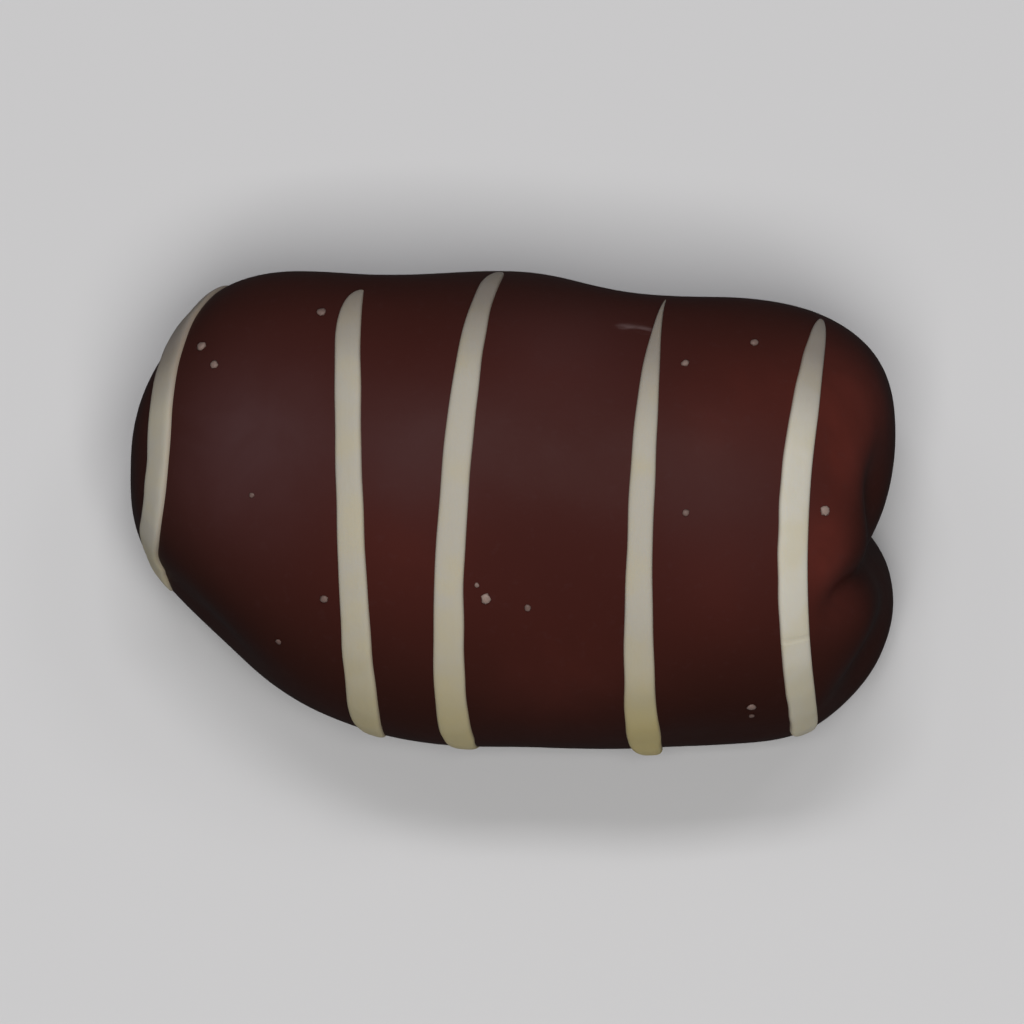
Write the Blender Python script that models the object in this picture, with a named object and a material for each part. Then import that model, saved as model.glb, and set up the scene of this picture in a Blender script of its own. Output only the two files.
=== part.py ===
"""A date dipped in dark chocolate, with five lines of white chocolate drizzled across it.

One solid: the dip coats the whole fruit and the drizzle sets on it. The date lies along X on its flat
base, with the blunt stem end, where the skin folds in, at +X and the rounder tip at -X. The back is +Y.
Lengths are in metres and +Z is up. The origin is on the base, at the middle of the whole outline.

A place on the coat is given by two angles: along runs from the stem end (0) to the tip (180 degrees),
and around turns about the long axis from the back (0) over the crown (90) to the front (180).
"""

import math
from collections import namedtuple

import bmesh
import bpy
from mathutils import Vector

# The coat: how far it reaches from the long axis, and where that axis lies.
HALF_LENGTH = 0.02217
BACK_REACH = 0.01317
FRONT_REACH = 0.01342
CROWN_REACH = 0.0129
KEEL_REACH = 0.0124
AXIS_HEIGHT = 0.0102
AXIS_SHIFT = 0.0002
AXIS_SLOPE = -0.073
BASE_ROUND = 0.0009

# The set coat stands on three low points of its base, each a soft round swelling at this (x, y).
FEET = ((-0.0058, 0.0051), (-0.0058, -0.0040), (0.0109, -0.0004))
FOOT_DEPTH = 0.0001
FOOT_REACH = 0.0026

# Bluntness: 2 makes an ellipse, and more fills the shoulders out towards a box.
SECTION_BLUNT = 2.3
End = namedtuple("End", "back front up")
STEM_BLUNT = End(back=4.9, front=2.85, up=4.4)
TIP_BLUNT = End(back=3.1, front=2.1, up=2.4)

# The fold in the stem end: a furrow that rises over the end and fades on the crown.
FOLD_DEPTH = 0.00185
FOLD_START = 0.0170
FOLD_FULL = 0.0210
FOLD_AT = -0.0009
FOLD_LEAN = -0.50
FOLD_BEND = 30.0
FOLD_BEND_FROM = 0.0035
FOLD_SOFTNESS = 0.0007
FOLD_BACK_WIDTH = 0.0027
FOLD_FRONT_WIDTH = 0.0015

# Hollows in the coat, and swellings where the depth is negative. Each is a soft round patch.
Patch = namedtuple("Patch", "centre depth spread")
PATCHES = (
    Patch((0.0083, 0.0128, 0.0120), 0.00100, 0.0033),
    Patch((-0.0210, 0.0079, 0.0112), 0.00095, 0.0030),
    Patch((-0.0145, 0.0125, 0.0110), -0.00071, 0.0040),
    Patch((-0.0180, -0.0080, 0.0100), 0.00106, 0.0033),
    Patch((-0.0085, -0.0130, 0.0100), -0.00085, 0.0050),
    Patch((0.0175, -0.0125, 0.0100), -0.00107, 0.0036),
    Patch((0.0170, 0.0120, 0.0110), -0.00024, 0.0033),
    Patch((0.0210, -0.0084, 0.0100), 0.00120, 0.0031),
    Patch((0.0010, 0.0130, 0.0110), -0.00048, 0.0033),
    Patch((-0.0085, 0.0132, 0.0125), 0.00052, 0.0033),
    Patch((0.0120, -0.0135, 0.0100), 0.00057, 0.0033),
    Patch((0.0216, 0.0008, 0.0168), 0.00150, 0.0021),
)

# The drizzle. Each line crosses the crown near crown_x and runs down both sides, from the angle start at
# the back to end at the front. lean and sway bend it, and the curls sweep its lower ends along X.
Course = namedtuple("Course", "crown_x lean back_curl front_curl sway start end")
# Its width at the back, the crown and the front, the lengths over which its back and its front end
# narrow, how far each tip lies towards the stem, as a share of half the width, and how much the front
# end swells.
Ribbon = namedtuple("Ribbon", "back_width width front_width back_taper front_taper back_skew front_skew drip")
LINES = (
    (
        Course(-0.02074, 0.00036, 0.00433, 0.00104, -0.00049, -4, 213),
        Ribbon(0.00200, 0.00205, 0.00180, 0.0040, 0.0032, 0.0, 0.9, 0.0),
    ),
    (
        Course(-0.00914, -0.00031, 0.00037, 0.00035, 0.00007, 41, 200),
        Ribbon(0.00145, 0.00155, 0.00192, 0.0045, 0.0070, 0.8, 1.3, 0.0),
    ),
    (
        Course(-0.00281, 0.00118, 0.00162, 0.00071, 0.00013, 22, 200),
        Ribbon(0.00100, 0.00166, 0.00188, 0.0040, 0.0070, 0.2, 1.3, 0.0),
    ),
    (
        Course(0.00777, 0.00067, 0.00143, 0.00033, 0.00013, 36, 203),
        Ribbon(0.00005, 0.00144, 0.00196, 0.0090, 0.0050, 0.0, 1.0, 0.0005),
    ),
    (
        Course(0.01703, 0.00105, -0.00141, 0.00006, 0.00068, 30, 200),
        Ribbon(0.00090, 0.00178, 0.00170, 0.0060, 0.0032, 0.0, 0.3, 0.0),
    ),
)
SWEEP_POWER = 1.3
LINE_RELIEF = 0.00028
LINE_SINK = 0.00045
LINE_HEM = 0.00008
LINE_FLATNESS = 0.62
DRIP_FROM = 180
DRIP_SPAN = 24
BACK_SPAN = 70
FRONT_SPAN = 90

# How finely the surfaces are cut into faces.
COAT_COLUMNS = 56
COAT_ROWS = 60
LINE_STATIONS = 40
LINE_SIDES = 10
LINE_END_CROWDING = 0.75
END_FULLNESS = 0.03
HALVINGS = 30
SMALL_TURN = 0.001
SHARP_ANGLE = math.radians(40)

DARK_CHOCOLATE = (0.050, 0.017, 0.014, 1.0)
WHITE_CHOCOLATE = (0.480, 0.420, 0.310, 1.0)
CHOCOLATE_ROUGHNESS = 0.42


def clear_scene():
    """Removes what the scene starts with."""
    for leftover in list(bpy.data.objects):
        bpy.data.objects.remove(leftover)


def finish(name, colour, roughness):
    """A plain non-metallic material of this colour."""
    material = bpy.data.materials.new(name)
    material.use_nodes = True
    shader = material.node_tree.nodes["Principled BSDF"]
    shader.inputs["Base Color"].default_value = colour
    shader.inputs["Roughness"].default_value = roughness
    shader.inputs["Metallic"].default_value = 0.0
    return material


def ease(value):
    """0 below 0, 1 above 1, and a smooth rise between."""
    value = min(max(value, 0.0), 1.0)
    return value * value * (3 - 2 * value)


def plump_body(along, around):
    """A point of the plain body, seen from the axis: an egg with blunt shoulders of its own at each end."""
    ahead, out = math.cos(along), math.sin(along)
    side, up = math.cos(around), math.sin(around)
    end = STEM_BLUNT if ahead > 0 else TIP_BLUNT
    blunt = side**2 * (end.back if side > 0 else end.front) + up**2 * end.up
    reach = (abs(ahead) ** blunt + abs(out) ** blunt) ** (-1 / blunt)
    square = (abs(side) ** SECTION_BLUNT + abs(up) ** SECTION_BLUNT) ** (-1 / SECTION_BLUNT)
    return Vector(
        (
            HALF_LENGTH * reach * ahead,
            (BACK_REACH if side > 0 else FRONT_REACH) * reach * out * square * side,
            (CROWN_REACH if up > 0 else KEEL_REACH) * reach * out * square * up,
        )
    )


def fold_depth(place):
    """How deep the fold of the stem end is at this place of the plain body."""
    bend = FOLD_BEND * max(place.z - FOLD_BEND_FROM, 0) ** 2
    off = place.y - (FOLD_AT + FOLD_LEAN * place.z - bend)
    away = math.hypot(off, FOLD_SOFTNESS) - FOLD_SOFTNESS
    width = FOLD_BACK_WIDTH if off > 0 else FOLD_FRONT_WIDTH
    rise = ease((place.x - FOLD_START) / (FOLD_FULL - FOLD_START))
    return FOLD_DEPTH * rise * math.exp(-away / width)


def foot_depth(place):
    """How far the low points of the base reach down at this place."""
    return sum(FOOT_DEPTH * ease(1 - math.hypot(place.x - x, place.y - y) / FOOT_REACH) for x, y in FEET)


def coat_point(along, around):
    """A point of the coat: the plain body, drawn in by its fold and hollows and set down on its base."""
    place = plump_body(along, around)
    depth = fold_depth(place)
    for patch in PATCHES:
        centre = Vector(patch.centre) - Vector((0, 0, AXIS_HEIGHT))
        depth += patch.depth * math.exp(-(place - centre).length_squared / (2 * patch.spread**2))
    place *= 1 - depth / place.length
    place.y += AXIS_SHIFT + AXIS_SLOPE * place.x
    place.z += AXIS_HEIGHT
    if place.z < BASE_ROUND:
        low = max(place.z, -BASE_ROUND) + BASE_ROUND
        place.z = low**2 / (4 * BASE_ROUND) - foot_depth(place)
    return place


def outward(along, around):
    """The coat's direction outwards, from the points on either side."""
    lengthways = coat_point(along + SMALL_TURN, around) - coat_point(along - SMALL_TURN, around)
    crossways = coat_point(along, around + SMALL_TURN) - coat_point(along, around - SMALL_TURN)
    return lengthways.cross(crossways).normalized()


def along_at(x, around):
    """The angle along at which the coat reaches x, found by halving."""
    low, high = 0.0, math.pi
    for _ in range(HALVINGS):
        middle = (low + high) / 2
        if coat_point(middle, around).x > x:
            low = middle
        else:
            high = middle
    return (low + high) / 2


def make_coat(material):
    """The whole coat: a sphere turned onto its side, each of its points moved onto the date."""
    mesh = bpy.data.meshes.new("chocolate_date")
    shape = bmesh.new()
    bmesh.ops.create_uvsphere(shape, u_segments=COAT_COLUMNS, v_segments=COAT_ROWS, radius=1)
    for vertex in shape.verts:
        back, crown, stem = vertex.co
        along = math.acos(min(max(stem, -1.0), 1.0))
        vertex.co = coat_point(along, math.atan2(crown, back))
    shape.to_mesh(mesh)
    shape.free()
    mesh.materials.append(material)
    coat = bpy.data.objects.new("chocolate_date", mesh)
    bpy.context.scene.collection.objects.link(coat)
    return coat


def line_x(course, around):
    """Where along X a line lies at this angle: it leans and sways, and sweeps away below the crown."""
    low = (1 - max(math.sin(around), 0)) ** SWEEP_POWER
    curl = course.back_curl if math.cos(around) > 0 else course.front_curl
    bent = course.lean * math.cos(around) + course.sway * math.cos(2 * around)
    return course.crown_x + bent + curl * low


def line_width(ribbon, around):
    """A line's width at this angle, eased from the crown to its width at the back or the front."""
    turned = math.degrees(around)
    to_back = ease((90 - turned) / BACK_SPAN)
    to_front = ease((turned - 90) / FRONT_SPAN)
    return (
        ribbon.width
        + (ribbon.back_width - ribbon.width) * to_back
        + (ribbon.front_width - ribbon.width) * to_front
    )


def line_stations(course):
    """(place, outward, around) of each section down a line, set closer together near its two ends."""
    stations = []
    for step in range(LINE_STATIONS):
        share = step / (LINE_STATIONS - 1)
        share -= LINE_END_CROWDING * math.sin(2 * math.pi * share) / (2 * math.pi)
        around = math.radians(course.start + (course.end - course.start) * share)
        along = along_at(line_x(course, around), around)
        stations.append((coat_point(along, around), outward(along, around), around))
    return stations


def rounded(distance, taper):
    """How full a line is at this distance from its end: a quarter circle that long."""
    left = 1 - min(distance / taper + END_FULLNESS, 1)
    return math.sqrt(1 - left**2)


def flattened(value):
    """A sine or cosine pushed out towards 1, which turns a round section into a flatter, squarer one."""
    return math.copysign(abs(value) ** LINE_FLATNESS, value)


def section(ribbon, around, full_back, full_front):
    """The corners of a line's cross-section, as (towards the stem, outwards): a flat bead sunk into the
    coat, smaller near the line's ends, where it keeps to the stem side."""
    full = full_back * full_front
    half = line_width(ribbon, around) / 2
    skew = half * (ribbon.back_skew * (1 - full_back) + ribbon.front_skew * (1 - full_front))
    relief = (LINE_RELIEF + ribbon.drip * ease((math.degrees(around) - DRIP_FROM) / DRIP_SPAN)) * full
    corners = []
    for corner in range(LINE_SIDES):
        turn = 2 * math.pi * corner / LINE_SIDES
        across, height = flattened(math.cos(turn)), flattened(math.sin(turn))
        height *= relief + LINE_HEM if height > 0 else LINE_SINK - LINE_HEM
        corners.append((half * full * across + skew, height - LINE_HEM))
    return corners


def make_line(course, ribbon, name, material, collection):
    """One line of drizzle: a low bead carried over the coat, sunk a little into it, with round ends."""
    stations = line_stations(course)
    places = [place for place, _, _ in stations]
    gone = [0.0]
    for before, after in zip(places, places[1:]):
        gone.append(gone[-1] + (after - before).length)
    shape = bmesh.new()
    rings = []
    for index, (place, out, around) in enumerate(stations):
        before, after = places[max(index - 1, 0)], places[min(index + 1, len(places) - 1)]
        to_stem = out.cross(after - before).normalized()
        full_back = rounded(gone[index], ribbon.back_taper)
        full_front = rounded(gone[-1] - gone[index], ribbon.front_taper)
        ring = [
            shape.verts.new(place + to_stem * across + out * height)
            for across, height in section(ribbon, around, full_back, full_front)
        ]
        rings.append(ring)
    for first, second in zip(rings, rings[1:]):
        for corner in range(LINE_SIDES):
            after = (corner + 1) % LINE_SIDES
            shape.faces.new((first[corner], second[corner], second[after], first[after]))
    shape.faces.new(rings[0])
    shape.faces.new(rings[-1])
    bmesh.ops.recalc_face_normals(shape, faces=shape.faces)
    mesh = bpy.data.meshes.new(name)
    shape.to_mesh(mesh)
    shape.free()
    mesh.materials.append(material)
    collection.objects.link(bpy.data.objects.new(name, mesh))


def fuse(coat, collection):
    """Joins the drizzle to the coat as one body, and removes the loose lines."""
    union = coat.modifiers.new("drizzle", "BOOLEAN")
    union.operation = "UNION"
    union.solver = "EXACT"
    union.material_mode = "TRANSFER"
    union.operand_type = "COLLECTION"
    union.collection = collection
    bpy.context.view_layer.objects.active = coat
    bpy.ops.object.modifier_apply(modifier=union.name)
    for line in list(collection.objects):
        bpy.data.objects.remove(line)
    bpy.data.collections.remove(collection)


def centre(coat):
    """Sets the date's whole outline about the origin, with its base at height 0."""
    corners = [vertex.co for vertex in coat.data.vertices]
    shift = Vector(
        (
            -(min(c.x for c in corners) + max(c.x for c in corners)) / 2,
            -(min(c.y for c in corners) + max(c.y for c in corners)) / 2,
            -min(c.z for c in corners),
        )
    )
    for vertex in coat.data.vertices:
        vertex.co += shift


def build():
    """Makes the date: its coat, the five lines fused onto it, and its place over the origin."""
    clear_scene()
    dark = finish("dark_chocolate", DARK_CHOCOLATE, CHOCOLATE_ROUGHNESS)
    white = finish("white_chocolate", WHITE_CHOCOLATE, CHOCOLATE_ROUGHNESS)
    coat = make_coat(dark)
    drizzle = bpy.data.collections.new("drizzle")
    bpy.context.scene.collection.children.link(drizzle)
    for number, (course, ribbon) in enumerate(LINES, start=1):
        make_line(course, ribbon, f"line_{number}", white, drizzle)
    fuse(coat, drizzle)
    centre(coat)
    coat.data.shade_smooth()
    coat.data.set_sharp_from_angle(angle=SHARP_ANGLE)


build()
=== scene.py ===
"""A date dipped in dark chocolate, with five lines of white chocolate drizzled across it."""

import bpy
import numpy as np
from mathutils import Matrix, Vector


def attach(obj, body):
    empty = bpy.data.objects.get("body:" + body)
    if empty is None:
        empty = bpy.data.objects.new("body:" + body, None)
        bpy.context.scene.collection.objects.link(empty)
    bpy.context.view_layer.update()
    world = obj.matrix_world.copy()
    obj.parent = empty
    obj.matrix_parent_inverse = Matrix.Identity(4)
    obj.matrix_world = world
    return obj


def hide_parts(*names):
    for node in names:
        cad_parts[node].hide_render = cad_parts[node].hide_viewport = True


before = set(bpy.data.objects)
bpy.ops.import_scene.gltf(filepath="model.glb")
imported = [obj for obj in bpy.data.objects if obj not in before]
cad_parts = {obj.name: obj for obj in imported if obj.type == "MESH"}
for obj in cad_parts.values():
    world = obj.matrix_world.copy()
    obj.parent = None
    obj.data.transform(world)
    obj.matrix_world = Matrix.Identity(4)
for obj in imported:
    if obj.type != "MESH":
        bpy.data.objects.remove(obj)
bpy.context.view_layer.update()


# The coat: a whole date dipped in tempered dark chocolate and set on its base. The dip follows the
# fruit, so it is softly dented and wavy, blunt and folded in at the stem end (+X), rounder at the tip.
# It is satin, faintly clouded with redder chocolate and with greyer patches that are partly a faint
# bloom and partly a painted sheen, and painted darker down its sides as shade where they turn from the
# light above.

MM = 0.001
HALF_LENGTH, BACK_REACH, FRONT_REACH = 22.17 * MM, 13.17 * MM, 13.42 * MM
CROWN_REACH, KEEL_REACH, AXIS_HEIGHT = 12.9 * MM, 12.4 * MM, 10.2 * MM
AXIS_SHIFT, AXIS_SLOPE, BASE_ROUND = 0.2 * MM, -0.073, 0.9 * MM
SECTION_BLUNT = 2.3
STEM_BLUNT = {"back": 4.9, "front": 2.85, "up": 4.4}
TIP_BLUNT = {"back": 3.1, "front": 2.1, "up": 2.4}
FOLD_DEPTH, FOLD_START, FOLD_FULL = 1.85 * MM, 17.0 * MM, 21.0 * MM
FOLD_AT, FOLD_LEAN, FOLD_BEND, FOLD_BEND_FROM = -0.9 * MM, -0.50, 30.0, 3.5 * MM
FOLD_BACK_WIDTH, FOLD_FRONT_WIDTH, FOLD_SOFTNESS = 2.7 * MM, 1.5 * MM, 0.7 * MM
FOOT_PLACES = ((-5.8, 5.1), (-5.8, -4.0), (10.9, -0.4))
FOOT_DEPTH, FOOT_REACH = 0.1 * MM, 2.6 * MM
# (centre, depth, spread) of each soft hollow, or swelling where the depth is negative, in millimetres
PATCHES = (
    ((8.3, 12.8, 12.0), 1.00, 3.3), ((-21.0, 7.9, 11.2), 0.95, 3.0),
    ((-14.5, 12.5, 11.0), -0.71, 4.0), ((-18.0, -8.0, 10.0), 1.06, 3.3),
    ((-8.5, -13.0, 10.0), -0.85, 5.0), ((17.5, -12.5, 10.0), -1.07, 3.6),
    ((17.0, 12.0, 11.0), -0.24, 3.3), ((21.0, -8.4, 10.0), 1.20, 3.1),
    ((1.0, 13.0, 11.0), -0.48, 3.3), ((-8.5, 13.2, 12.5), 0.52, 3.3),
    ((12.0, -13.5, 10.0), 0.57, 3.3), ((21.6, 0.8, 16.8), 1.50, 2.1),
)
# where the finished date stands over the origin
PLACE = np.array((0.100, -0.018, 0.0995)) * MM
SMALL_TURN, SMALL_LENGTH, HALVINGS = 0.001, 1e-12, 30
COAT_STATIONS, COAT_COLUMNS = 300, 288

rng = np.random.default_rng(20)


def eased(value):
    """0 below 0, 1 above 1, and the smooth cubic 3v^2 - 2v^3 between."""
    value = np.clip(value, 0, 1)
    return value * value * (3 - 2 * value)


def plane_waves(count, shortest, longest):
    """Directions, wave numbers and phases of some random plane waves between two wavelengths."""
    direction = rng.normal(size=(count, 3))
    direction /= np.linalg.norm(direction, axis=1, keepdims=True)
    number = 2 * np.pi / rng.uniform(shortest, longest, count)
    return direction * number[:, None], rng.uniform(0, 2 * np.pi, count)


def rippled(place, waves):
    """The sum of the waves at each place, sin(k . place + phase), scaled to stay mostly within 1."""
    numbers, phases = waves
    return np.sin(place @ numbers.T + phases).sum(-1) / np.sqrt(len(phases))


SWELLS = plane_waves(9, 8 * MM, 15 * MM)
RIPPLES = plane_waves(14, 2.2 * MM, 4.5 * MM)
SWELL_DEPTH, RIPPLE_DEPTH = 0.055 * MM, 0.010 * MM


def plump_body(along, around):
    """A blunt egg about the long axis. With n the bluntness, eased between back, crown and front by the
    squared cosine and sine of around, the reach is (|cos along|^n + |sin along|^n)^(-1/n), and each
    cross-section is squared off in the same way with the power SECTION_BLUNT."""
    ahead, out, side, up = np.cos(along), np.sin(along), np.cos(around), np.sin(around)
    back, front, top = (
        np.where(ahead > 0, STEM_BLUNT[way], TIP_BLUNT[way]) for way in ("back", "front", "up")
    )
    blunt = side**2 * np.where(side > 0, back, front) + up**2 * top
    reach = (np.abs(ahead) ** blunt + np.abs(out) ** blunt) ** (-1 / blunt)
    square = (np.abs(side) ** SECTION_BLUNT + np.abs(up) ** SECTION_BLUNT) ** (-1 / SECTION_BLUNT)
    return np.stack((
        HALF_LENGTH * reach * ahead,
        np.where(side > 0, BACK_REACH, FRONT_REACH) * reach * out * square * side,
        np.where(up > 0, CROWN_REACH, KEEL_REACH) * reach * out * square * up,
    ), -1)


def fold_depth(place):
    """The fold's depth falls away as exp(-distance / width) on both sides of a line that leans and
    bends over the stem end, rounded over FOLD_SOFTNESS, and grows from FOLD_START to FOLD_FULL."""
    x, y, z = np.moveaxis(place, -1, 0)
    off = y - (FOLD_AT + FOLD_LEAN * z - FOLD_BEND * np.maximum(z - FOLD_BEND_FROM, 0) ** 2)
    width = np.where(off > 0, FOLD_BACK_WIDTH, FOLD_FRONT_WIDTH)
    away = np.hypot(off, FOLD_SOFTNESS) - FOLD_SOFTNESS
    return FOLD_DEPTH * eased((x - FOLD_START) / (FOLD_FULL - FOLD_START)) * np.exp(-away / width)


def coat_point(along, around):
    """The plain body drawn in towards its middle by the fold, the hollows (bells of their depth and
    spread) and the waves of the dip, then skewed, lifted, and flattened below with three low points."""
    place = plump_body(along, around)
    depth = fold_depth(place)
    depth = depth + SWELL_DEPTH * rippled(place, SWELLS) + RIPPLE_DEPTH * rippled(place, RIPPLES)
    for centre, deep, spread in PATCHES:
        away = place - (np.array(centre) * MM - (0, 0, AXIS_HEIGHT))
        depth = depth + deep * MM * np.exp(-(away**2).sum(-1) / (2 * (spread * MM) ** 2))
    place = place * (1 - depth / np.linalg.norm(place, axis=-1))[..., None]
    x = place[..., 0]
    y = place[..., 1] + AXIS_SHIFT + AXIS_SLOPE * x
    z = place[..., 2] + AXIS_HEIGHT
    foot = sum(eased(1 - np.hypot(x - fx * MM, y - fy * MM) / FOOT_REACH) for fx, fy in FOOT_PLACES)
    low = (np.clip(z, -BASE_ROUND, BASE_ROUND) + BASE_ROUND) ** 2 / (4 * BASE_ROUND) - FOOT_DEPTH * foot
    return np.stack((x, y, np.where(z < BASE_ROUND, low, z)), -1) + PLACE


def unit(vectors):
    """The vectors scaled to length 1."""
    return vectors / (np.linalg.norm(vectors, axis=-1, keepdims=True) + SMALL_LENGTH)


def outward(along, around):
    """The coat's direction outwards: the cross product of its slopes along and around."""
    lengthways = coat_point(along + SMALL_TURN, around) - coat_point(along - SMALL_TURN, around)
    crossways = coat_point(along, around + SMALL_TURN) - coat_point(along, around - SMALL_TURN)
    return unit(np.cross(lengthways, crossways))


def along_at(x, around):
    """The angle along at which the coat reaches x at the angle around, found by halving the range."""
    low, high = np.zeros_like(x), np.full_like(x, np.pi)
    for _ in range(HALVINGS):
        middle = (low + high) / 2
        beyond = coat_point(middle, around)[..., 0] - PLACE[0] > x
        low, high = np.where(beyond, middle, low), np.where(beyond, high, middle)
    return (low + high) / 2


def spot(x, degrees):
    """The place on the coat at this x, in millimetres, and this angle around."""
    x, around = np.array((x * MM,)), np.radians((degrees,))
    return coat_point(along_at(x, around), around)[0]


def clouded(points, clouds):
    """The sum of the clouds at each point: bells of their strength and spread, kept within 1."""
    amount = np.zeros(len(points))
    for x, degrees, spread, strength in clouds:
        away = points - spot(x, degrees)
        amount += strength * np.exp(-(away**2).sum(-1) / (2 * (spread * MM) ** 2))
    return np.clip(amount, 0, 1)


def scraped(points):
    """1 on the line between the scuff's two ends, falling away as a bell with the spread SCUFF_WIDTH."""
    first, last = (spot(*end) for end in SCUFF)
    share = np.clip((points - first) @ (last - first) / ((last - first) @ (last - first)), 0, 1)
    away = points - first - share[:, None] * (last - first)
    return np.exp(-(away**2).sum(-1) / (2 * SCUFF_WIDTH**2))


def make_piece(name, points, faces, finish, **attributes):
    """A smooth piece of these points and faces, which rides on the root body and stands for the date."""
    mesh = bpy.data.meshes.new(name)
    mesh.from_pydata(points.tolist(), [], [tuple(face) for face in faces])
    for label, values in attributes.items():
        mesh.attributes.new(label, "FLOAT", "POINT").data.foreach_set("value", np.ravel(values))
    mesh.materials.append(finish)
    mesh.shade_smooth()
    piece = bpy.data.objects.new(name, mesh)
    bpy.context.scene.collection.objects.link(piece)
    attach(piece, "root")
    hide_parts("chocolate_date")
    return piece


def tube_faces(rows, columns, first=0):
    """The quads of a grid of rows x columns points that is closed round its columns."""
    row, column = np.meshgrid(np.arange(rows - 1), np.arange(columns), indexing="ij")
    beside = (column + 1) % columns
    corners = (row * columns + column, row * columns + beside,
               (row + 1) * columns + beside, (row + 1) * columns + column)
    return (first + np.stack(corners, -1).reshape(-1, 4)).tolist()


def cap_faces(pole, ring, turned):
    """The triangles that close a ring of points on a pole."""
    beside = np.roll(ring, -1)
    pair = (beside, ring) if turned else (ring, beside)
    return np.stack((np.full(len(ring), pole), *pair), -1).tolist()


def closed_faces(rows, columns, first=0):
    """The faces of such a grid whose first and last rings are closed on the two poles that follow it."""
    ring, pole = first + np.arange(columns), first + rows * columns
    return (
        tube_faces(rows, columns, first)
        + cap_faces(pole, ring, True)
        + cap_faces(pole + 1, ring + (rows - 1) * columns, False)
    )


# the places of a Mix node's colour sockets among its inputs and outputs
MIX_FACTOR, MIX_FIRST, MIX_SECOND, MIX_RESULT = 0, 6, 7, 2


class Field:
    """A number that changes over a surface: a node's output, with the operators of plain maths."""

    def __init__(self, finish, socket):
        self.finish, self.socket = finish, socket

    def maths(self, operation, *values):
        """The field that this operation gives."""
        return self.finish.node("ShaderNodeMath", {"operation": operation}, dict(enumerate(values)))

    def __add__(self, other):
        return self.maths("ADD", self, other)

    def __sub__(self, other):
        return self.maths("SUBTRACT", self, other)

    def __rsub__(self, other):
        return self.maths("SUBTRACT", other, self)

    def __mul__(self, other):
        return self.maths("MULTIPLY", self, other)

    def eased(self, low, high):
        """0 below low, 1 above high, and a smooth rise between."""
        settings = {"interpolation_type": "SMOOTHSTEP"}
        limits = {"Value": self, "From Min": low, "From Max": high}
        return self.finish.node("ShaderNodeMapRange", settings, limits)

    __radd__ = __add__


class Finish:
    """A material, built node by node round its Principled shader."""

    def __init__(self, name):
        self.material = bpy.data.materials.new(name)
        self.material.use_nodes = True
        self.tree = self.material.node_tree
        self.shader = self.tree.nodes["Principled BSDF"]

    def put(self, node, values):
        """Sets or links a node's sockets."""
        for key, value in values.items():
            socket = node.inputs[key]
            if isinstance(value, Field):
                self.tree.links.new(value.socket, socket)
            else:
                socket.default_value = value

    def node(self, kind, settings=None, values=None, output=0):
        """A node of this type with its settings and its sockets' values or links."""
        node = self.tree.nodes.new(kind)
        for key, value in (settings or {}).items():
            setattr(node, key, value)
        self.put(node, values or {})
        return Field(self, node.outputs[output])

    def place(self):
        """The place on the piece, in metres."""
        return self.node("ShaderNodeTexCoord", output="Object")

    def cloud(self, size, detail=2.0, roughness=0.5, shift=(0, 0, 0), stretch=(1, 1, 1), distortion=0.0):
        """Noise whose patches are about this long, in metres."""
        moved = {"Vector": self.place(), "Location": shift, "Scale": stretch}
        return self.node("ShaderNodeTexNoise", None, {
            "Vector": self.node("ShaderNodeMapping", {"vector_type": "POINT"}, moved),
            "Scale": 1 / size, "Detail": detail, "Roughness": roughness, "Distortion": distortion,
        })

    def attribute(self, label):
        """The piece's own attribute of this name."""
        return self.node("ShaderNodeAttribute", {"attribute_name": label}, output="Fac")

    def blend(self, factor, first, second):
        """A colour between two colours."""
        first, second = (
            colour if isinstance(colour, Field) else (*colour, 1.0) for colour in (first, second)
        )
        values = {MIX_FACTOR: factor, MIX_FIRST: first, MIX_SECOND: second}
        return self.node("ShaderNodeMix", {"data_type": "RGBA"}, values, MIX_RESULT)

    def bump(self, height, distance):
        """A normal bent by this height, in metres."""
        values = {"Strength": 1.0, "Distance": distance, "Height": height}
        return self.node("ShaderNodeBump", None, values)


# the coat's own colour where it faces up, and a darker copy of it painted down its sides as shade
DARK_SIDE, DARK_BASE = (0.030, 0.0078, 0.0050), (0.047, 0.0122, 0.0100)
DARK_RED, DARK_BLOOM = (0.088, 0.0185, 0.0135), (0.064, 0.0285, 0.0290)
DARK_SCUFF = (0.16, 0.105, 0.105)
# (x, around, spread, strength) of the warmer, redder clouds, in millimetres and degrees
RED_CLOUDS = (
    (13.0, 74, 2.6, 0.35), (3.0, 150, 3.4, 0.35), (2.0, 66, 2.4, 0.15), (-6.0, 118, 3.0, 0.25),
    (19.8, 62, 2.8, 1.0), (18.0, 108, 1.4, 1.1), (19.4, 84, 2.0, 0.5), (12.0, 120, 2.5, 0.2),
    (19.0, 150, 2.4, 0.1), (18.3, 123, 1.6, 0.5),
)
# the same of the greyer, lighter ones: partly a faint bloom, which also dulls the coat, and partly a
# painted sheen where the crown catches the light above
BLOOM_CLOUDS = (
    (-15.0, 90, 3.4, 0.85), (-5.5, 92, 2.6, 0.35), (12.5, 102, 2.6, 0.15), (3.0, 60, 3.0, 0.30),
)
# a faint scrape, from and to (x, around), and its half width
SCUFF, SCUFF_WIDTH = ((6.2, 50.8), (8.0, 51.8)), 0.14 * MM
# how strongly the mottling breaks up the two kinds of cloud, and how much specks and scuff show
RED_LEAST, RED_MOTTLED, BLOOM_MOST, BLOOM_MOTTLED = 0.6, 0.5, 1.2, 0.4
SPECK_SHARE, SCUFF_SHARE = 0.08, 0.6
DARK_ROUGHNESS, DARK_SMEARED, DARK_BLOOMED, DARK_GLOSS, DARK_GRAIN = 0.38, 0.12, 0.08, 0.07, 0.012 * MM

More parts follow.
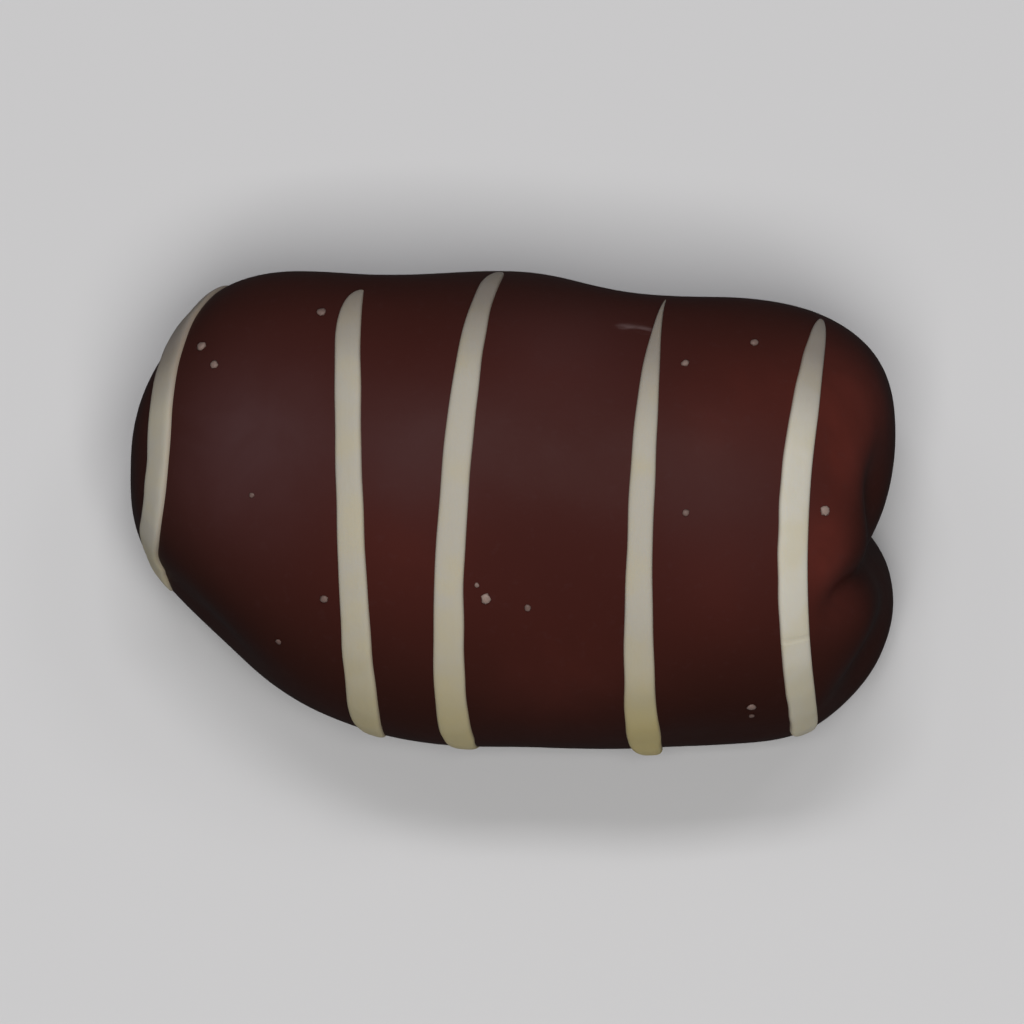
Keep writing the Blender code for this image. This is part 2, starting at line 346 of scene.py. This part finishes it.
dark = Finish("dark_chocolate")
mottle = dark.cloud(5 * MM, detail=3.0, roughness=0.55, shift=(0.3, 0.1, 0.2), distortion=0.4)
mottle = mottle.eased(0.30, 0.70)
red = dark.attribute("red") * (mottle * RED_MOTTLED + RED_LEAST)
bloom = dark.attribute("bloom") * (BLOOM_MOST - mottle * BLOOM_MOTTLED)
speck = dark.cloud(0.55 * MM, detail=2.0, shift=(0.7, 0.2, 0.5)).eased(0.60, 0.72)
streaks = dark.cloud(0.5 * MM, detail=2.0, stretch=(0.3, 1, 1)).eased(0.40, 0.62)
# painted shade: the colour darkens as the coat turns from facing up
colour = dark.blend(dark.attribute("crown"), DARK_SIDE, DARK_BASE)
colour = dark.blend(red, colour, DARK_RED)
# painted sheen with some real bloom: greyer, lighter patches, mostly on the crown where it catches the
# light
colour = dark.blend(bloom, colour, DARK_BLOOM)
colour = dark.blend(speck * SPECK_SHARE, colour, DARK_BLOOM)
colour = dark.blend(dark.attribute("scuff") * streaks * SCUFF_SHARE, colour, DARK_SCUFF)
smear = dark.cloud(3 * MM, detail=3.0, roughness=0.6, shift=(0.2, 0.9, 0.1))
grain = dark.cloud(0.30 * MM, detail=3.0, roughness=0.6) * 0.5 + dark.cloud(1.3 * MM, detail=2.0)
dark.put(dark.shader, {
    "Base Color": colour,
    "Roughness": DARK_ROUGHNESS + smear * DARK_SMEARED + bloom * DARK_BLOOMED,
    "Normal": dark.bump(grain, DARK_GRAIN),
    "Specular IOR Level": DARK_GLOSS,
})

stations = np.linspace(0, np.pi, COAT_STATIONS + 1)
columns = np.linspace(0, 2 * np.pi, COAT_COLUMNS, endpoint=False)
turns = np.meshgrid(stations[1:-1], columns, indexing="ij")
ends = coat_point(np.array((0.0, np.pi)), np.array((0.0, 0.0)))
coat_points = np.concatenate((coat_point(*turns).reshape(-1, 3), ends))
# how much the coat faces up, which sets how much painted shade it gets
facing_up = np.maximum(outward(*turns)[..., 2].ravel(), 0)
coat = make_piece(
    "coat", coat_points, [face[::-1] for face in closed_faces(COAT_STATIONS - 1, COAT_COLUMNS)],
    dark.material, crown=np.concatenate((facing_up**2, (0.0, 0.0))),
    red=clouded(coat_points, RED_CLOUDS), bloom=clouded(coat_points, BLOOM_CLOUDS),
    scuff=scraped(coat_points),
)


# The drizzle: five lines of melted white chocolate, let fall across the dipped date from a moving
# nozzle and set on it as low flat ribbons with slightly wavy edges. Each runs down both sides to round
# tips, the fourth ends in a thicker drip at the front, and the fifth has a hairline crack.

LINE_KEYS = ("crown_x", "lean", "back_curl", "front_curl", "sway", "start", "end", "back_width", "width",
             "front_width", "back_taper", "front_taper", "back_skew", "front_skew", "drip", "butter",
             "dull_to")
# Lengths are in millimetres and angles in degrees. The skews say how far a tip lies towards the stem,
# as a share of half the width, drip how much thicker the front end is, the next how yellow the front
# end is painted, partly its own tint and partly warm bounced light, and the last where the painted
# shade on the back of the line ends.
LINES = [dict(zip(LINE_KEYS, values)) for values in (
    (-20.74, 0.36, 4.33, 1.04, -0.49, -4, 213, 2.00, 2.05, 1.80, 4.0, 3.2, 0.0, 0.9, 0.0, 0.35, 76),
    (-9.14, -0.31, 0.37, 0.35, 0.07, 41, 200, 1.45, 1.55, 1.92, 4.5, 7.0, 1.1, 1.3, 0.0, 0.60, 76),
    (-2.81, 1.18, 1.62, 0.71, 0.13, 22, 200, 1.00, 1.66, 1.88, 4.0, 7.0, 0.2, 1.3, 0.0, 0.75, 76),
    (7.77, 0.67, 1.43, 0.33, 0.13, 36, 203, 0.05, 1.44, 1.96, 9.0, 5.0, 0.0, 1.0, 0.5, 1.10, 86),
    (17.03, 1.05, -1.41, 0.06, 0.68, 30, 200, 0.90, 1.78, 1.70, 6.0, 3.2, 0.0, 0.3, 0.0, 0.25, 84),
)]
SWEEP_POWER, LINE_RELIEF, LINE_SINK, LINE_HEM = 1.3, 0.28 * MM, 0.45 * MM, 0.08 * MM
LINE_FLATNESS, LINE_END_CROWDING, END_FULLNESS, THICK_POWER = 0.62, 0.75, 0.03, 1.5
CROWN_ANGLE, BACK_SPAN, FRONT_SPAN, DRIP_FROM, DRIP_SPAN = 90, 70, 90, 180, 24
BUTTER_FROM, BUTTER_SPAN, DULL_SPAN = 124, 54, 36
STEM_SIDE = -1
LINE_STATIONS, LINE_SIDES = 420, 24
WIDTH_WAVER, RELIEF_WAVER = 0.022, 0.08
CRACK_LINE, CRACK_AT, CRACK_WIDTH, CRACK_DEPTH = 5, 132.8, 0.05 * MM, 0.30


def line_path(line, around):
    """Places down a line: along X it is crown_x, plus lean times cos(around), plus sway times
    cos(2 around), plus a curl that grows as (1 - sin around)^SWEEP_POWER below the crown."""
    side = np.cos(around)
    curl = np.where(side > 0, line["back_curl"], line["front_curl"])
    x = (line["crown_x"] + line["lean"] * side + line["sway"] * np.cos(2 * around)
         + curl * (1 - np.maximum(np.sin(around), 0)) ** SWEEP_POWER)
    along = along_at(x * MM, around)
    return coat_point(along, around), outward(along, around)


def wavered(distance, count=5, shortest=2.5 * MM, longest=9 * MM):
    """A random wave down a line: a sum of sines of its length."""
    numbers = 2 * np.pi / rng.uniform(shortest, longest, count)
    phases = rng.uniform(0, 2 * np.pi, count)
    return np.sin(distance[:, None] * numbers + phases).sum(-1) / np.sqrt(count)


def flattened(value):
    """A sine or cosine pushed out towards 1, for a flatter, squarer section than a round one."""
    return np.sign(value) * np.abs(value) ** LINE_FLATNESS


def fullness(distance, taper):
    """How full a line is at this distance from its end: a quarter circle as long as taper."""
    return np.sqrt(1 - (1 - np.minimum(distance / taper + END_FULLNESS, 1)) ** 2)


def line_grid(line, number):
    """Rings of points down a line: a flattened oval of the line's width, standing LINE_RELIEF out of
    the coat and sunk into it, wavered a little and drawn in at both ends. With them, at each point, how
    near the ribbon's top it lies, below which the edges are painted darker as shade, how yellow it is
    painted towards the front end, and how far it is painted in shade on the back."""
    share = np.linspace(0, 1, LINE_STATIONS)
    share -= LINE_END_CROWDING * np.sin(2 * np.pi * share) / (2 * np.pi)
    degrees = line["start"] + (line["end"] - line["start"]) * share
    place, out = line_path(line, np.radians(degrees))
    gone = np.concatenate(((0,), np.cumsum(np.linalg.norm(np.diff(place, axis=0), axis=1))))
    onward = unit(np.gradient(place, gone, axis=0))
    side = unit(np.cross(onward, out))
    full_back = fullness(gone, line["back_taper"] * MM)
    full_front = fullness(gone[-1] - gone, line["front_taper"] * MM)
    full = full_back * full_front
    past = degrees - CROWN_ANGLE
    width = (line["width"] + (line["back_width"] - line["width"]) * eased(-past / BACK_SPAN)
             + (line["front_width"] - line["width"]) * eased(past / FRONT_SPAN)) * MM
    half_left = width / 2 * full * (1 + WIDTH_WAVER * wavered(gone))
    half_right = width / 2 * full * (1 + WIDTH_WAVER * wavered(gone))
    skew = width / 2 * (line["back_skew"] * (1 - full_back) + line["front_skew"] * (1 - full_front))
    relief = (LINE_RELIEF + line["drip"] * MM * eased((degrees - DRIP_FROM) / DRIP_SPAN)) * full
    relief = relief * (1 + RELIEF_WAVER * wavered(gone, shortest=2 * MM))
    if number == CRACK_LINE:
        crack = np.interp(CRACK_AT, degrees, gone)
        relief = relief * (1 - CRACK_DEPTH * np.exp(-((gone - crack) / CRACK_WIDTH) ** 2))
    turn = np.linspace(2 * np.pi, 0, LINE_SIDES, endpoint=False)
    across, height = flattened(np.cos(turn)), flattened(np.sin(turn))
    sideways = np.where(across > 0, half_right[:, None], half_left[:, None]) * across
    sideways = sideways + skew[:, None] * STEM_SIDE
    upwards = np.where(height > 0, relief[:, None] + LINE_HEM, LINE_SINK - LINE_HEM) * height - LINE_HEM
    points = place[:, None] + side[:, None] * sideways[..., None] + out[:, None] * upwards[..., None]
    # how near the ribbon's top each point lies; lower down, towards the edges, the cream is painted
    # darker as shade
    thick = np.broadcast_to(np.maximum(height, 0) ** THICK_POWER, sideways.shape)
    # yellower towards the front end: partly the cream's own yellow, partly painted warm light bounced up
    # onto it
    butter = np.minimum(line["butter"] * eased((degrees - BUTTER_FROM) / BUTTER_SPAN), 1)
    # painted shade on the back of the line, fading out towards the crown
    dull = eased((line["dull_to"] - degrees) / DULL_SPAN)
    return points, thick, *(np.broadcast_to(tone[:, None], sideways.shape) for tone in (butter, dull))


IVORY, IVORY_PALE, IVORY_THIN = (0.415, 0.388, 0.330), (0.53, 0.505, 0.435), (0.26, 0.20, 0.15)
IVORY_BUTTER, IVORY_DULL = (0.485, 0.402, 0.170), (0.21, 0.178, 0.155)
PALE_FROM, PALE_FULL = 10 * MM, 15 * MM
MILK_SHARE, DULL_SHARE, BUTTER_SHARE, THIN_SHARE = 0.20, 0.8, 0.9, 0.6
WHITE_ROUGHNESS, WHITE_SMEARED, WHITE_GLOSS, WHITE_GRAIN = 0.46, 0.14, 0.20, 0.016 * MM

white = Finish("white_chocolate")
thin = 1 - white.attribute("thick").eased(0.0, 0.75)
milk = white.cloud(2.5 * MM, detail=2.0, shift=(0.4, 0.8, 0.3)).eased(0.40, 0.70)
stemward = white.node("ShaderNodeSeparateXYZ", None, {"Vector": white.place()}, "X")
colour = white.blend(stemward.eased(PALE_FROM, PALE_FULL), IVORY, IVORY_PALE)
colour = white.blend(milk * MILK_SHARE, colour, IVORY_BUTTER)
# painted shade: a darker copy of the cream on the back of each line
colour = white.blend(white.attribute("dull") * DULL_SHARE, colour, IVORY_DULL)
# painted warm bounced light, with some of the cream's own yellow, at the front ends
colour = white.blend(white.attribute("butter") * BUTTER_SHARE, colour, IVORY_BUTTER)
# darker and browner towards the ribbon's edges: partly the dark coat showing through thin cream, partly
# painted shade where the edges turn from the light
colour = white.blend(thin * THIN_SHARE, colour, IVORY_THIN)
grain = white.cloud(0.35 * MM, detail=3.0, roughness=0.6) * 0.6 + white.cloud(1.1 * MM, detail=1.0)
streak = white.cloud(0.30 * MM, detail=1.0, stretch=(1, 0.08, 0.16))
white.put(white.shader, {
    "Base Color": colour,
    "Roughness": WHITE_ROUGHNESS + white.cloud(1.6 * MM, detail=2.0) * WHITE_SMEARED,
    "Normal": white.bump(grain + streak * 0.7, WHITE_GRAIN),
    "Specular IOR Level": WHITE_GLOSS,
    "Subsurface Weight": 0.15,
    "Subsurface Radius": (1.0, 0.7, 0.4),
    "Subsurface Scale": 0.4 * MM,
})

for number, line in enumerate(LINES, start=1):
    grid, thick, butter, dull = line_grid(line, number)
    ends = np.stack((grid[0].mean(0), grid[-1].mean(0)))
    ribbon = make_piece(
        f"drizzle_line_{number}", np.concatenate((grid.reshape(-1, 3), ends)),
        closed_faces(LINE_STATIONS, LINE_SIDES), white.material,
        thick=np.concatenate((thick.ravel(), (0, 0))),
        butter=np.concatenate((butter.ravel(), butter[(0, -1), 0])),
        dull=np.concatenate((dull.ravel(), (dull[0, 0], 0))),
    )


# The crumbs: specks of white chocolate that spat from the nozzle and set where they fell on the coat.
# Each is a tiny squat lump, partly sunk in the surface.

# (x, around, across, how pale) in millimetres, degrees and millimetres: the shown ones first
CRUMBS = (
    (-17.75, 51.5, 0.60, 0.55), (-17.00, 61.0, 0.52, 0.55), (-10.85, 50.0, 0.54, 0.30),
    (-10.60, 131.0, 0.46, 0.30), (-13.30, 150.0, 0.38, 0.15), (-14.75, 105.0, 0.32, 0.20),
    (-1.35, 125.5, 0.58, 0.90), (-1.85, 122.5, 0.28, 0.50), (1.05, 127.0, 0.38, 0.25),
    (9.99, 62.0, 0.46, 0.50), (10.08, 101.5, 0.40, 0.30), (13.92, 52.5, 0.52, 0.35),
    (17.95, 98.0, 0.60, 0.95), (13.75, 158.5, 0.50, 0.45), (13.75, 164.0, 0.34, 0.20),
    (-5.20, 8.0, 0.40, 0.50), (12.60, -3.0, 0.34, 0.30), (-14.60, -12.0, 0.36, 0.40),
)
CRUMB_DULL, CRUMB_PALE, CRUMB_MOTTLED = (0.105, 0.062, 0.054), (0.275, 0.200, 0.172), 0.4
CRUMB_RINGS, CRUMB_SIDES = 6, 9
# the height as a share of the width, how far it lifts out of the coat, and where its two poles lie
CRUMB_SQUASH, CRUMB_LIFT, CRUMB_POLES = 0.55, 0.12, (-0.43, 0.67)
WIDTH_ROUGH, HEIGHT_ROUGH = 0.22, 0.15


def crumb_points(x, around, across):
    """A lump: the rings of a ball squeezed to CRUMB_SQUASH of its height, each point's radius and height
    wavered at random, with its two poles, set on the coat along the direction outwards."""
    x, around = np.array((x * MM,)), np.radians((around,))
    along = along_at(x, around)
    place, out = coat_point(along, around)[0], outward(along, around)[0]
    first = unit(np.cross(out, (1.0, 0.3, 0.2)))
    second = np.cross(out, first)
    rise = np.linspace(-0.5, 0.5, CRUMB_RINGS + 1)[1:-1] * np.pi
    turn = np.linspace(0, 2 * np.pi, CRUMB_SIDES, endpoint=False)
    radius = across * MM / 2 * (1 + rng.uniform(-WIDTH_ROUGH, WIDTH_ROUGH, (len(rise), CRUMB_SIDES)))
    flat = radius * np.cos(rise)[:, None]
    high = CRUMB_SQUASH * across * MM / 2 * np.sin(rise)[:, None]
    high = high * (1 + rng.uniform(-HEIGHT_ROUGH, HEIGHT_ROUGH, radius.shape))
    rings = (place + flat[..., None] * (np.cos(turn)[:, None] * first + np.sin(turn)[:, None] * second)
             + high[..., None] * out + CRUMB_LIFT * across * MM * out)
    poles = place + np.array(CRUMB_POLES)[:, None] * across * MM * CRUMB_SQUASH * out
    return np.concatenate((rings.reshape(-1, 3), poles))


crumb_meshes, crumb_faces, crumb_tones = [], [], []
for x, around, across, tone in CRUMBS:
    first = sum(map(len, crumb_meshes))
    lump = crumb_points(x, around, across)
    crumb_meshes.append(lump)
    crumb_tones += [tone] * len(lump)
    crumb_faces += closed_faces(CRUMB_RINGS - 1, CRUMB_SIDES, first)

crumb = Finish("white_chocolate_crumb")
# the noise is centred, so that it varies about each crumb's own tone
paleness = crumb.attribute("tone") + crumb.cloud(0.3 * MM) * CRUMB_MOTTLED - CRUMB_MOTTLED / 2
crumb.put(crumb.shader, {
    "Base Color": crumb.blend(paleness, CRUMB_DULL, CRUMB_PALE),
    "Roughness": 0.5,
    "Normal": crumb.bump(crumb.cloud(0.15 * MM), 0.02 * MM),
})
crumbs = make_piece(
    "crumbs", np.concatenate(crumb_meshes), crumb_faces, crumb.material, tone=crumb_tones,
)


# The studio: a plain pale floor, a large soft key light above the date's front, a light over its crown
# whose gloss the camera sees, two faint side lights, and a camera that looks down from the front.

CAMERA_FROM = Vector((-0.0197, 0.242, -0.970)).normalized()
TARGET = Vector((0, 0, AXIS_HEIGHT))
CAMERA_DISTANCE, CAMERA_LENS, CAMERA_NEAR, CAMERA_FAR = 1.44, 880, 0.1, 10
FLOOR_HALF, FLOOR_DROP = 1.5, 0.02 * MM
# (name, direction to it, distance, width, depth, watts, colour, whether it shows in the gloss)
LIGHTS = (
    ("key_box", (0.04, -0.36, 0.93), 0.90, 0.40, 0.36, 5.6, (1.0, 0.99, 0.97), False),
    ("crown_box", (-0.02, 0.242, 0.970), 0.90, 0.34, 0.14, 2.0, (1.0, 0.99, 1.0), True),
    ("left_box", (-0.40, 0.26, 0.88), 0.80, 0.20, 0.16, 0.2, (1.0, 0.99, 1.0), True),
    ("right_box", (0.40, 0.26, 0.88), 0.80, 0.16, 0.16, 0.3, (1.0, 0.99, 1.0), True),
)
SKY, SKY_STRENGTH = (0.95, 0.97, 1.0, 1.0), 0.06

floor_mesh = bpy.data.meshes.new("floor")
floor_mesh.from_pydata(
    [(x * FLOOR_HALF, y * FLOOR_HALF, -FLOOR_DROP) for x, y in ((-1, -1), (1, -1), (1, 1), (-1, 1))],
    [], [(0, 1, 2, 3)],
)
ground = Finish("floor")
ground.put(ground.shader, {
    "Base Color": (0.62, 0.62, 0.63, 1.0),
    "Roughness": 0.7,
    "Specular IOR Level": 0.2,
})
floor_mesh.materials.append(ground.material)
floor = bpy.data.objects.new("floor", floor_mesh)
bpy.context.scene.collection.objects.link(floor)
floor.visible_glossy = False

for name, direction, distance, wide, deep, watts, tint, mirrored in LIGHTS:
    light = bpy.data.lights.new(name, "AREA")
    light.shape, light.size, light.size_y = "RECTANGLE", wide, deep
    light.energy, light.color = watts, tint
    lamp = bpy.data.objects.new(name, light)
    towards = Vector(direction).normalized()
    lamp.visible_glossy = mirrored
    lamp.location = TARGET + towards * distance
    lamp.rotation_euler = towards.to_track_quat("Z", "Y").to_euler()
    bpy.context.scene.collection.objects.link(lamp)

world = bpy.data.worlds.new("studio")
world.use_nodes = True
background = world.node_tree.nodes["Background"]
background.inputs["Color"].default_value = SKY
background.inputs["Strength"].default_value = SKY_STRENGTH
bpy.context.scene.world = world
bpy.context.scene.view_settings.view_transform = "Standard"

camera_data = bpy.data.cameras.new("camera")
camera_data.lens, camera_data.clip_start, camera_data.clip_end = CAMERA_LENS, CAMERA_NEAR, CAMERA_FAR
camera = bpy.data.objects.new("camera", camera_data)
right = (Vector((1, 0, 0)) - CAMERA_FROM.x * CAMERA_FROM).normalized()
upright = right.cross(CAMERA_FROM)
camera.matrix_world = Matrix.Translation(TARGET - CAMERA_FROM * CAMERA_DISTANCE) @ Matrix(
    (right, upright, -CAMERA_FROM)
).transposed().to_4x4()
bpy.context.scene.collection.objects.link(camera)
bpy.context.scene.camera = camera
